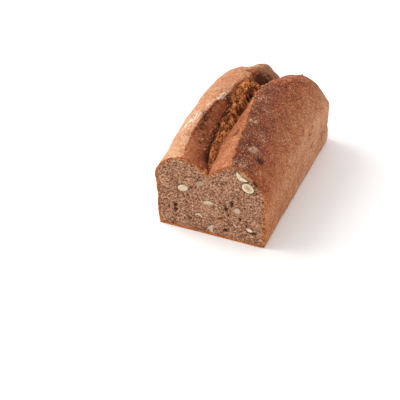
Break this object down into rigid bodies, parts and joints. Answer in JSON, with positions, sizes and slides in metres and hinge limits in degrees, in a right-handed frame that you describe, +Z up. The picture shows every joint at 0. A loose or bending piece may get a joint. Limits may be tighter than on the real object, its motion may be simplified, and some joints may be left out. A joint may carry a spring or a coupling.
{
  "type": "cut hazelnut bread loaf",
  "caption": "Part of a tin-baked loaf of hazelnut bread, cut square at one end, split open along its top, with cut nuts set in the crumb.",
  "frame": {"origin": "middle of the loaf's flat underside", "axes": "+Y runs back from the cut face along the loaf, +X is to the right as one looks at the cut, +Z is up"},
  "size_m": [0.1072, 0.1768, 0.0902],
  "materials": {
    "bread": "matt baked crust and crumb",
    "nut": "satin cut nut"
  },
  "bodies": {
    "root": {"loaf": "bread", "hazelnut_left": "nut", "hazelnut_whole": "nut", "hazelnut_under_crust": "nut", "hazelnut_middle": "nut", "hazelnut_sliver": "nut", "hazelnut_base": "nut", "hazelnut_pale": "nut", "hazelnut_chip": "nut", "hazelnut_smeared": "nut"}
  },
  "joints": []
}
